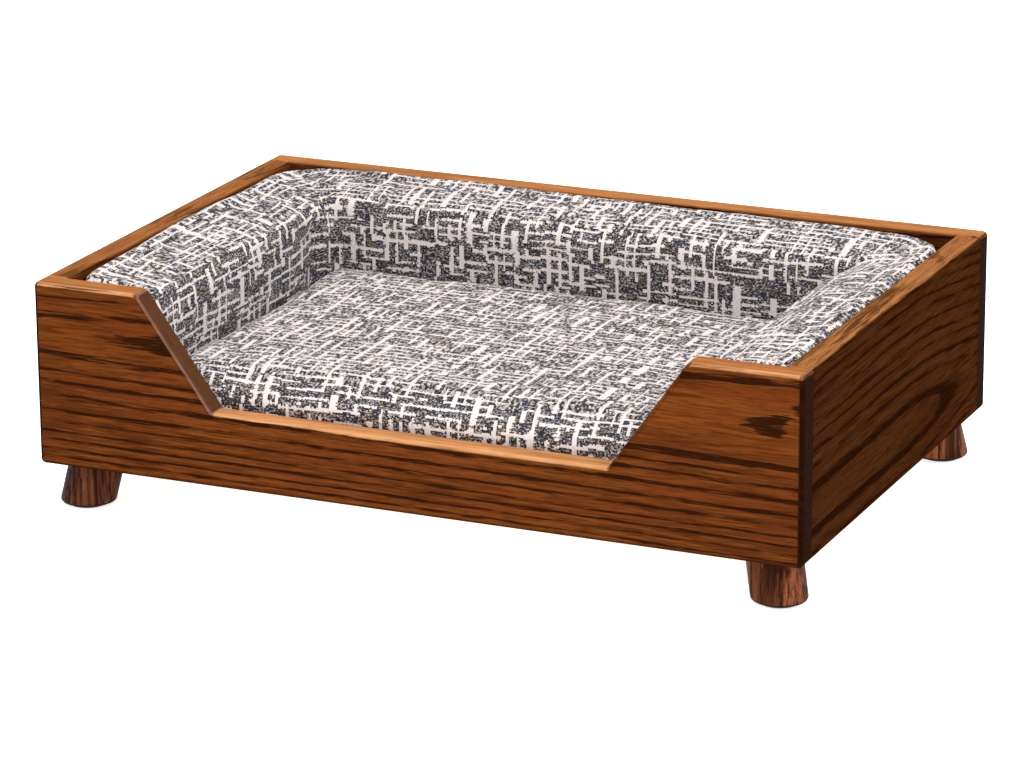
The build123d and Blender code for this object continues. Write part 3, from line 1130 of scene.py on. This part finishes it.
@dataclass
class Bolster(Cushion):
    """The U-shaped bolster: a sewn tweed cover over foam bars, mitred at its two inner corners."""

    wall: float = 212 * MM
    back_wall: float = 112 * MM
    reach_x: float = 279.4 * MM
    reach_y: float = 179.4 * MM
    foot: float = 66.4 * MM
    top: float = 174.5 * MM
    crease: float = 4 * MM
    sink: Pair = (6.5 * MM, 1.5 * MM)
    sink_reach: float = 30 * MM
    heel: float = 7 * MM
    heel_reach: float = 18 * MM
    heel_top: Pair = (84 * MM, 104 * MM)
    corner: float = 46 * MM
    shoulder: float = 24 * MM
    firm_width: float = 30 * MM
    crown_width: float = 26 * MM
    crown_slope: float = 15
    ridge_slope: float = 3
    outer_round: float = 9 * MM
    foot_round: float = 5 * MM
    draw: float = 2.5 * MM
    end_round: float = 26 * MM
    end_drop: float = 15 * MM
    end_weave: float = 0.57
    end_steps: int = 10
    toe_lift: float = 0.2
    spacing: float = 5 * MM
    face_steps: int = 12
    corner_steps: int = 26
    corner_weave: float = 150 * MM
    arm_stretch: float = 1.28
    most_rise: float = 5 * MM
    caps: tuple[float, ...] = (0.8, 0.6, 0.4, 0.2)
    slack_span: Pair = (30 * MM, 50 * MM)
    slack: tuple[Union[Lumps, Swell], ...] = (
        Lumps(18.0, 1.4 * MM, (3.0, 1.0, 7.0)),
        Lumps(60.0, 0.5 * MM, (9.0, 2.0, 4.0)),
        Swell(-105 * MM, 150 * MM, 45 * MM, 45 * MM, 3.0 * MM),
        Swell(-205 * MM, 150 * MM, 40 * MM, 40 * MM, 1.6 * MM),
        Swell(60 * MM, 150 * MM, 60 * MM, 60 * MM, 0.6 * MM),
        Swell(235 * MM, 150 * MM, 50 * MM, 50 * MM, -1.4 * MM),
        Swell(-250 * MM, -165 * MM, 30 * MM, 30 * MM, -1.0 * MM),
        Swell(-283 * MM, -5 * MM, 9 * MM, 75 * MM, 5.0 * MM),
    )
    stuffing: Stuffing = Stuffing(3.2, 3.2 * MM)

    @property
    def width(self) -> float:
        """The arms' width."""
        return self.reach_x - self.wall

    def section(self) -> list[Pair]:
        """The bolster cut across, from its inner foot up and over, as distance from the wall and height.

        Returns:
            Evenly spaced points, closed.
        """
        slope, ridge = math.radians(self.crown_slope), math.radians(self.ridge_slope)
        crown = self.crown_width / (math.sin(slope) - math.sin(ridge))
        crown_z = self.top - crown * math.cos(ridge)
        shoulder_z = crown_z + (crown - self.shoulder) * math.cos(slope)
        crown_t = self.shoulder + (crown - self.shoulder) * math.sin(slope)
        edge, low = self.width - self.outer_round, self.foot + self.foot_round
        points: list[Pair] = []
        for i in range(self.face_steps):
            share = i / self.face_steps
            points.append((self.draw * (1 - share) ** 2, low + (shoulder_z - low) * share))
        for t, z, radius, start, end, steps in (
            (self.shoulder, shoulder_z, self.shoulder, -QUARTER, -slope, 14),
            (crown_t, crown_z, crown, -slope, -ridge, 12),
            (edge, self.top - self.outer_round, self.outer_round, 0.0, QUARTER, 12),
            (self.width - self.foot_round, low, self.foot_round, QUARTER, 2 * QUARTER, 5),
            (self.foot_round + self.draw, low, self.foot_round, 2 * QUARTER, 3 * QUARTER, 5),
        ):
            for angle in np.linspace(start, end, steps + 1):
                points.append((t + radius * math.sin(angle), z + radius * math.cos(angle)))
        return even_loop(points, self.spacing)

    def stations(self, section: np.ndarray) -> list[Ring]:
        """The rings from the left arm's front end round the back to the right arm's.

        Args:
            section: The points of the bolster cut across.

        Returns:
            The rings, with a mitre in the weave at the middle of each corner.
        """
        flat = np.ones(len(section))
        straight = self.back_wall + self.reach_y - self.crease
        count = round((straight - self.end_round) / self.spacing)
        arm = [self.end_round * (1 - math.cos(QUARTER * i / self.end_steps)) for i in range(self.end_steps)]
        arm += [self.end_round + (straight - self.end_round) * i / count for i in range(count + 1)]
        rings: list[Ring] = []
        for gone in arm:
            y = gone - self.reach_y
            squeeze = 1 - min(gone, self.end_round) / self.end_round
            nip = self.end_round * (1 - math.sqrt(max(0.0, 1 - squeeze**2)))
            sunk = self.sink[0] * math.exp(-(((self.back_wall - self.crease - y) / self.sink_reach) ** 2))
            start = Vector((-self.wall - sunk, y))
            drop = self.end_drop * squeeze**3
            points = self.ring(section, start, Vector((-1, 0)), self.width - sunk, nip, drop)
            weave = flat * (gone - self.end_round * self.end_weave * squeeze**1.5) / self.arm_stretch
            rings.append(Ring(points, weave, weave))
        centre = Vector((-self.wall + self.crease, self.back_wall - self.crease))
        for i in range(1, self.corner_steps):
            angle = QUARTER * i / self.corner_steps
            out = Vector((-math.cos(angle), math.sin(angle)))
            start = centre + out * self.crease + Vector((-self.sink[0], self.sink[1]))
            points = self.ring(section, start, out, self.corner_reach(start, out))
            away = np.hypot(points[:, 0] - centre.x, points[:, 1] - centre.y)
            from_arm = (straight + away * math.sin(angle)) / self.arm_stretch
            from_back = straight + self.corner_weave - away * math.cos(angle)
            before = from_arm if 2 * i <= self.corner_steps else from_back
            after = from_arm if 2 * i < self.corner_steps else from_back
            rings.append(Ring(points, before, after))
        half = self.wall - self.crease
        steps = round(half / self.spacing)
        for i in range(steps + 1):
            x = -half + half * i / steps
            sunk = math.exp(-(((x + half) / self.sink_reach) ** 2))
            start = Vector((x - self.sink[0] * sunk * abs(x) / half, self.back_wall + self.sink[1] * sunk))
            points = self.ring(section, start, Vector((0, 1)), self.reach_y - start.y)
            weave = flat * (straight + self.corner_weave + half * i / steps)
            rings.append(Ring(points, weave, weave))
        middle = straight + self.corner_weave + half
        return rings + [ring.mirrored(middle) for ring in rings[-2::-1]]

    def corner_reach(self, start: Vector, out: Vector) -> float:
        """How far the body goes from the crease to the rounded outer corner.

        Args:
            start: A point on the crease.
            out: The way out, which is leftward and back.

        Returns:
            The distance.
        """
        reach = min((-self.reach_x - start.x) / out.x, (self.reach_y - start.y) / out.y)
        centre = Vector((-self.reach_x + self.corner, self.reach_y - self.corner))
        hit = start + out * reach
        if hit.x < centre.x and hit.y > centre.y:
            offset = start - centre
            along = offset.dot(out)
            reach = -along + math.sqrt(along * along - offset.length_squared + self.corner**2)
        return reach

    def ring(
        self,
        section: np.ndarray,
        start: Vector,
        out: Vector,
        reach: float,
        nip: float = 0.0,
        drop: float = 0.0,
    ) -> np.ndarray:
        """Places the section at one station.

        Args:
            section: Its points.
            start: The plan point on the inner wall.
            out: The plan direction away from the room.
            reach: The width here.
            nip: How far both sides are drawn in, towards an arm's end.
            drop: How far the top is lower here.

        Returns:
            The ring's points.
        """
        outer = self.width - self.outer_round
        spread = np.clip((section[:, 0] - self.firm_width) / (outer - self.firm_width), 0, 1)
        t = nip + (section[:, 0] + spread * (reach - self.width)) * (reach - 2 * nip) / reach
        height = self.top - self.foot
        z = section[:, 1] - drop * np.clip((section[:, 1] - self.foot) / height, 0, 1) ** 2
        z = z + nip * self.toe_lift * np.clip(1 - (z - self.foot) / height, 0, 1) ** 2
        return np.stack([start.x + out.x * t, start.y + out.y * t, z], axis=1)

    def sew(self) -> Piece:
        """Makes the cover before it is stuffed.

        Returns:
            The cover.
        """
        section = np.array(self.section())
        steps = np.linalg.norm(np.roll(section, -1, axis=0) - section, axis=1)
        return tube_mesh("bolster", self.stations(section), [0.0, *np.cumsum(steps)], self.caps)

    def give(self, points: np.ndarray) -> np.ndarray:
        """How freely each point moves when the cover is stuffed: not where it presses on a board."""
        from_board = np.minimum(self.reach_x - np.abs(points[:, 0]), self.reach_y - points[:, 1])
        return np.clip((from_board - self.outer_round) / self.outer_round, 0.0, 1.0)

    def settle(self, point: np.ndarray, place: Vector) -> None:
        """Gives a point its share of the slack, and fills the gap in the corner by the base.

        Args:
            point: The point, which is moved.
            place: Where it was.
        """
        start, margin = self.slack_span
        share = ease((place.z - self.foot - start) / (self.top - self.foot - margin))
        point[2] += share * sum(piece.at(place) for piece in self.slack)
        from_corner = math.hypot(abs(place.x) - self.wall, place.y - self.back_wall)
        low, high = self.heel_top
        heel = self.heel * math.exp(-((from_corner / self.heel_reach) ** 2))
        heel *= 1 - ease((point[2] - low) / (high - low))
        point[0] -= math.copysign(heel, place.x)
        point[1] -= heel / 2

    def room(self) -> tuple[Spot, Spot]:
        """The lowest and highest place that a point may have."""
        low = (-self.reach_x, -self.reach_y, self.foot)
        return low, (self.reach_x, self.reach_y, self.top + self.most_rise)


@dataclass
class SleepingPad(Cushion):
    """The flat pad between the bolster's arms: a crowned, rounded tweed cushion."""

    half_width: float = 211.3 * MM
    front: float = -179.3 * MM
    back: float = 111.3 * MM
    foot: float = 66.4 * MM
    rim: float = 116.3 * MM
    crown: float = 3.4 * MM
    crown_fall: float = 0.45
    roll: float = 18 * MM
    under_roll: float = 9 * MM
    spacing: float = 5 * MM
    fewest: int = 8
    fold: float = 0.8
    weave_start: float = 2.0
    slack_from: float = 20 * MM
    slack: tuple[Lumps, ...] = (Lumps(14.0, 1.6 * MM, (5.0, 8.0, 1.0)), Lumps(45.0, 0.4 * MM))
    stuffing: Stuffing = Stuffing(2.5, 2.6 * MM)

    @property
    def half(self) -> Vector:
        """Half the pad's sizes."""
        return Vector((self.half_width, (self.back - self.front) / 2, (self.rim - self.foot) / 2))

    def sew(self) -> Piece:
        """Makes the cover before it is stuffed.

        Returns:
            The cover.
        """
        half = self.half
        middle = Vector((0.0, (self.back + self.front) / 2, (self.rim + self.foot) / 2))
        counts = [max(self.fewest, round(2 * size / self.spacing)) for size in half]
        lattice: dict[tuple[int, ...], int] = {}
        points: list[Vector] = []
        faces: list[tuple[int, ...]] = []

        def at(key: tuple[int, ...]) -> int:
            """Finds a point of the block, or makes it.

            Args:
                key: Its place in the lattice.

            Returns:
                Its number.
            """
            if key not in lattice:
                lattice[key] = len(points)
                block = Vector([(2 * n / c - 1) * h for n, c, h in zip(key, counts, half)])
                points.append(self.rounded(block))
            return lattice[key]

        for axis in (2, 1, 0):
            first, second = (n for n in range(3) if n != axis)
            for i in range(counts[first]):
                for j in range(counts[second]):
                    for side in (0, counts[axis]):
                        corners = [(i, j), (i, j + 1), (i + 1, j + 1), (i + 1, j)]
                        if (axis == 1) != (side > 0):
                            corners = [corners[n] for n in (0, 3, 2, 1)]
                        keys = [list(corner) for corner in corners]
                        for key in keys:
                            key.insert(axis, side)
                        faces.append(tuple(at(tuple(key)) for key in keys))
        weave = [[self.weave_point(points[n]) for n in face] for face in faces]
        return woven_piece("sleeping_pad", [point + middle for point in points], faces, weave)

    def rounded(self, p: Vector) -> Vector:
        """Rounds a block's point and crowns the top.

        Args:
            p: The point on the sharp block, from its middle.

        Returns:
            The point's place, from the middle.
        """
        half = self.half
        rolls = (self.roll, self.roll, self.under_roll)
        core = Vector([max(low - h, min(h - self.roll, value)) for value, h, low in zip(p, half, rolls)])
        away = p - core
        if away.length > TINY:
            away = away.normalized() * max(abs(value) for value in away)
        q = core + away
        rise = self.crown * (1 - (q.x / half.x) ** 2) * (1 - self.crown_fall * (q.y / half.y) ** 2)
        if q.z > 0:
            q.z += rise * ease(q.z / half.z)
        return q

    def weave_point(self, q: Vector) -> Pair:
        """The weave map's point: the plan, with the sides folded out.

        Args:
            q: The point's place, from the middle.

        Returns:
            The point on the map.
        """
        half = self.half
        fall = max(0.0, half.z - q.z) * self.fold
        sides = [ease((abs(value) - h + self.roll) / self.roll) for value, h in zip(q[:2], half)]
        return tuple(v + math.copysign(fall * side, v) + self.weave_start for v, side in zip(q[:2], sides))

    def settle(self, point: np.ndarray, place: Vector) -> None:
        """Gives a point its share of the slack."""
        if place.z > self.foot + self.slack_from:
            point[2] += sum(piece.at(place) for piece in self.slack)

    def room(self) -> tuple[Spot, Spot]:
        """The lowest and highest place that a point may have."""
        return (-self.half_width, self.front, self.foot), (self.half_width, self.back, math.inf)


# Studio


@dataclass(frozen=True)
class Softbox:
    """A square studio light."""

    name: str
    place: Spot
    aim: Spot
    size: float
    power: float

    def hang(self) -> None:
        """Puts the light in the scene."""
        lamp = bpy.data.lights.new(self.name, "AREA")
        lamp.shape = "SQUARE"
        lamp.size = self.size
        lamp.energy = self.power
        holder = bpy.data.objects.new(self.name, lamp)
        holder.location = self.place
        holder.rotation_euler = (Vector(self.aim) - Vector(self.place)).to_track_quat("-Z", "Y").to_euler()
        bpy.context.scene.collection.objects.link(holder)


@dataclass
class Studio:
    """A pale floor, soft lights and the camera at the photograph's angle."""

    camera_place: Spot = (1.3219, -2.9790, 1.1055)
    heading: float = 24.03
    downward: float = 17.55
    roll: float = -0.40
    lens: float = 160.3
    sensor: float = 36
    view_end: float = 100
    floor_size: float = 14.0
    floor_parts: int = 8
    floor_glow: float = 0.82
    glow_colour: Colour = hue(0.94, 0.97, 1.0)
    paint: tuple[Colour, Colour] = (hue(0.88, 0.88, 0.88), hue(0.90, 0.90, 0.90))
    lights: tuple[Softbox, ...] = (
        Softbox("key_softbox", (0.4, -1.8, 2.5), (0.0, 0.0, 0.1), 1.6, 64.0),
        Softbox("side_softbox", (2.2, 0.1, 1.9), (0.0, 0.0, 0.1), 1.2, 40.0),
        Softbox("left_softbox", (-2.0, -0.2, 1.9), (0.0, 0.0, 0.1), 1.2, 12.0),
        Softbox("back_softbox", (-1.3, 3.4, 3.2), (-1.3, 2.6, 0.0), 3.4, 150.0),
    )
    sky: float = 0.42

    def build(self) -> None:
        """Sets up the floor, the lights, the surroundings and the camera."""
        bpy.ops.object.select_all(action="DESELECT")
        parts = {"x_subdivisions": self.floor_parts, "y_subdivisions": self.floor_parts}
        bpy.ops.mesh.primitive_grid_add(size=self.floor_size, **parts)
        floor = bpy.context.object
        floor.name = "floor"
        graph = Graph("floor_paint")
        cloud = graph.noise(graph.add("TexCoord", {}, out="Object"), 3.0)
        graph.surface(graph.tint(cloud, *self.paint), 0.85, Specular_IOR_Level=0.1)
        graph.shader.inputs["Emission Color"].default_value = self.glow_colour
        graph.shader.inputs["Emission Strength"].default_value = self.floor_glow
        floor.data.materials.append(graph.material)
        for light in self.lights:
            light.hang()
        world = bpy.data.worlds.new("studio")
        world.use_nodes = True
        background = world.node_tree.nodes["Background"]
        background.inputs["Color"].default_value = (1, 1, 1, 1)
        background.inputs["Strength"].default_value = self.sky
        bpy.context.scene.world = world
        self.place_camera()
        settings = bpy.context.scene.view_settings
        settings.view_transform = "Standard"
        settings.look = "None"

    def place_camera(self) -> None:
        """Puts the camera where the photograph was taken from."""
        lens = bpy.data.cameras.new("camera")
        lens.lens = self.lens
        lens.sensor_width = self.sensor
        lens.clip_end = self.view_end
        camera = bpy.data.objects.new("camera", lens)
        turn = Euler((math.radians(90 - self.downward), 0, math.radians(self.heading))).to_matrix()
        turn = turn @ Matrix.Rotation(math.radians(self.roll), 3, "Z")
        camera.matrix_world = Matrix.Translation(self.camera_place) @ turn.to_4x4()
        bpy.context.scene.collection.objects.link(camera)
        bpy.context.scene.camera = camera


# The lounger


FRONT_YEARS = (31.6, 39.8, 45.4, 53.8, 63.6, 71.3, 79.3, 85.3, 91.8, 97.8, 103.8, 110.0, 117.0)
RIGHT_YEARS = (19.4, 34.0, 44.0, 54.5, 62.2, 73.5, 84.2, 92.8, 101.5, 110.0, 120.0)

FRONT_OAK = StainedOak(
    "oak_front",
    Grain.ACROSS,
    137 * MM,
    -175.8 * MM,
    years=tuple(radius * MM for radius in FRONT_YEARS),
    arches=(
        Arch(-272 * MM, 138 * MM, 80 * MM, 120 * MM, 11.0 * MM, 0.9),
        Arch(250 * MM, 137 * MM, 34 * MM, 37 * MM, 9.8 * MM, 0.34),
        Arch(285 * MM, 150 * MM, 14 * MM, 60 * MM, 8.0 * MM, 0.9),
    ),
    closing=1.086 * MM,
    bold_ring=1.0,
    bold_from=-30 * MM,
    highlights=1.0,
    rubbed_and_lit=hue(0.405, 0.152, 0.047),
    sway=1.6 * MM,
    top_wear_and_light=0.93,
    offset=3.1,
)
BACK_OAK = StainedOak("oak_back", Grain.ACROSS, 60 * MM, 165 * MM, tilt=0.03, top_wear_and_light=0.88, offset=11.7)
LEFT_OAK = StainedOak(
    "oak_left", Grain.FRONT_TO_BACK, 20 * MM, -270 * MM, tilt=-0.05, top_wear_and_light=0.52, offset=23.9
)
RIGHT_OAK = StainedOak(
    "oak_right",
    Grain.FRONT_TO_BACK,
    72 * MM,
    285 * MM,
    years=tuple(radius * MM for radius in RIGHT_YEARS),
    ring_width=9.5 * MM,
    taper=0.13,
    taper_start=55 * MM,
    sway=2.0 * MM,
    dark_part=(0.14, 0.46),
    bold_ring=1.0,
    bold_by=0.10,
    tone=0.35,
    top_wear_and_light=0.68,
    open_top=0.55,
    plain=hue(0.171, 0.0550, 0.0138),
    ripe=hue(0.076, 0.0218, 0.0060),
    russet=hue(0.134, 0.0355, 0.0098),
    gloss=0.0,
    offset=31.3,
)
LEG_OAK = StainedOak(
    "oak_leg",
    Grain.UPRIGHT,
    -1.2,
    -2.7,
    ring_width=5.4 * MM,
    dark_part=(0.10, 0.36),
    sway=1.8 * MM,
    top_wear_and_light=0.0,
    gloss=0.03,
    offset=5.0,
    clouds=Streaks(4.0, 46.0, 2.0),
    cloudy=0.74,
    contrast=1.0,
    # The left legs darker as painted shade, the right ones lighter as painted light.
    left_right_shading=0.26,
    plain=hue(0.262, 0.082, 0.034),
    ripe=hue(0.030, 0.0080, 0.0036),
    russet=hue(0.110, 0.028, 0.0070),
)

# Each finish with how the names of its solids start. A later row wins.
FINISHES = (
    (FRONT_OAK, ("front_board",)),
    (BACK_OAK, ("back_board",)),
    (LEFT_OAK, ("left_board",)),
    (RIGHT_OAK, ("right_board",)),
    (LEG_OAK, ("leg_",)),
    (PlainWood("pine", hue(0.66, 0.46, 0.24), hue(0.47, 0.27, 0.10)), ("cleat_", "corner_block")),
    (PlainWood("beech", hue(0.60, 0.38, 0.22), hue(0.44, 0.26, 0.13), 1.8 * MM), ("corner_dowels",)),
    (Plywood("plywood"), ("base_panel",)),
    (
        Metal("steel", hue(0.55, 0.55, 0.54), hue(0.38, 0.38, 0.38)),
        ("cleat_screws", "block_screws", "panel_screws", "hanger_bolts"),
    ),
    (Metal("insert_metal", hue(0.62, 0.60, 0.52), hue(0.44, 0.42, 0.34), 0.38), ("threaded_inserts",)),
    (Moulded("glide"), ("foot_glide",)),
)


@dataclass
class OakBox:
    """The box with its legs and fittings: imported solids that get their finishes."""

    nodes: dict[str, Piece]

    def dress(self) -> None:
        """Gives each solid its finish."""
        for finish, starts in FINISHES:
            material = finish.make()
            for name, node in self.nodes.items():
                if name.startswith(starts):
                    self.paint(node, material)
                    log.info("%s: %s", name, material.name)

    def paint(self, node: Piece, material: Material) -> None:
        """Puts a finish in a solid's slots.

        Args:
            node: The solid.
            material: Its finish.
        """
        if not node.material_slots:
            node.data.materials.append(material)
        for slot in node.material_slots:
            slot.material = material


def main() -> None:
    """Builds and dresses the lounger, then the studio."""
    logging.basicConfig(level=logging.INFO, format="%(message)s")
    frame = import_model()
    OakBox(frame["nodes"]).dress()
    tweed = Tweed("tweed").make()

    bolster = Bolster().build(tweed)
    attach(bolster, "bolster")
    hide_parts("bolster_cover", "bolster_foam_left", "bolster_foam_back", "bolster_foam_right")

    pad = SleepingPad().build(tweed)
    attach(pad, "mattress")
    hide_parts("mattress_cover", "mattress_foam")

    Studio().build()


if __name__ == "__main__":
    main()
